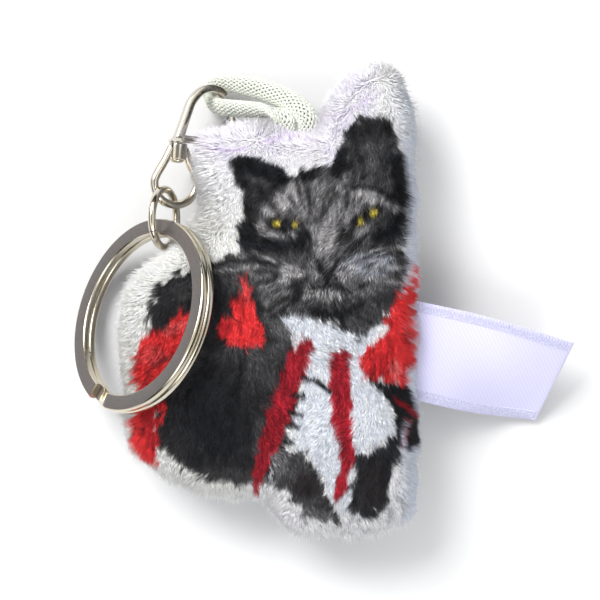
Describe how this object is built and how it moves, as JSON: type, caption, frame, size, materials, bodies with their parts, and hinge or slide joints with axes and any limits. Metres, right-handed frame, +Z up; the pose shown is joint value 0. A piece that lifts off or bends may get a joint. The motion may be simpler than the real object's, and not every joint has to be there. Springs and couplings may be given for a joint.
{
  "type": "plush keychain",
  "caption": "Stuffed cat-shaped plush charm with a satin ribbon label, a braided cord loop, a swivel snap hook, a jump ring and a flat-wire split key ring.",
  "frame": {"origin": "on the surface the plush lies on, at the middle of its flat back", "axes": "+X to the cat's left side with the label, +Y towards the ears, +Z up out of the printed face"},
  "size_m": [0.0767, 0.0706, 0.0252],
  "materials": {
    "printed_plush": "short white pile fabric with a printed cat in black, grey and red",
    "fibre_fill": "loose white polyester fibre",
    "thread": "white polyester sewing thread",
    "satin_ribbon": "white satin ribbon with looped edges",
    "braided_cord": "silvery white braided cord",
    "nickel": "bright nickel plating",
    "spring_steel": "plain spring wire",
    "ring_steel": "nickel-plated flat steel wire"
  },
  "bodies": {
    "plush": {"front_panel": "printed_plush", "back_panel": "printed_plush", "stuffing": "fibre_fill", "seam_thread": "thread", "closing_thread": "thread", "satin_label": "satin_ribbon", "loop_tails": "braided_cord"},
    "cord_loop": {"cord_loop": "braided_cord"},
    "hook": {"hook_body": "nickel", "gate_pin": "nickel", "gate_spring": "spring_steel", "swivel_rivet": "nickel"},
    "gate": {"hook_gate": "nickel"},
    "eye": {"swivel_eye": "nickel"},
    "jump_ring": {"jump_ring": "nickel"},
    "split_ring": {"split_ring": "ring_steel"}
  },
  "joints": [
    {"name": "loop_lift", "type": "hinge", "parent": "plush", "child": "cord_loop", "pos_m": [-0.0052, 0.0264, 0.01], "axis": [0.4306, 0.751, -0.5007], "range_deg": [0, 60], "deforming": ["cord_loop"]},
    {"name": "hook_swing", "type": "hinge", "parent": "cord_loop", "child": "hook", "pos_m": [-0.0172, 0.0314, 0.003], "axis": [0, 0, -1], "range_deg": [0, 35]},
    {"name": "gate_open", "type": "hinge", "parent": "hook", "child": "gate", "pos_m": [-0.0158, 0.02568, 0.00403], "axis": [0.4956, -0.0801, 0.8648], "range_deg": [0, 18], "stiffness_Nm_per_rad": 0.003, "springref_deg": -17.19, "deforming": ["gate_spring"]},
    {"name": "swivel", "type": "hinge", "parent": "hook", "child": "eye", "pos_m": [-0.0234, 0.0226, 0.0081], "axis": [-0.0697, -0.9962, -0.0523], "range_deg": [0, 12]},
    {"name": "jump_swing", "type": "hinge", "parent": "eye", "child": "jump_ring", "pos_m": [-0.02474, 0.01456, 0.00813], "axis": [-0.9488, 0.2996, 0.0999], "range_deg": [0, 36]},
    {"name": "split_swing", "type": "hinge", "parent": "jump_ring", "child": "split_ring", "pos_m": [-0.02577, 0.01075, 0.01054], "axis": [-0.6655, 0.0028, -0.7464], "range_deg": [0, 75]}
  ]
}
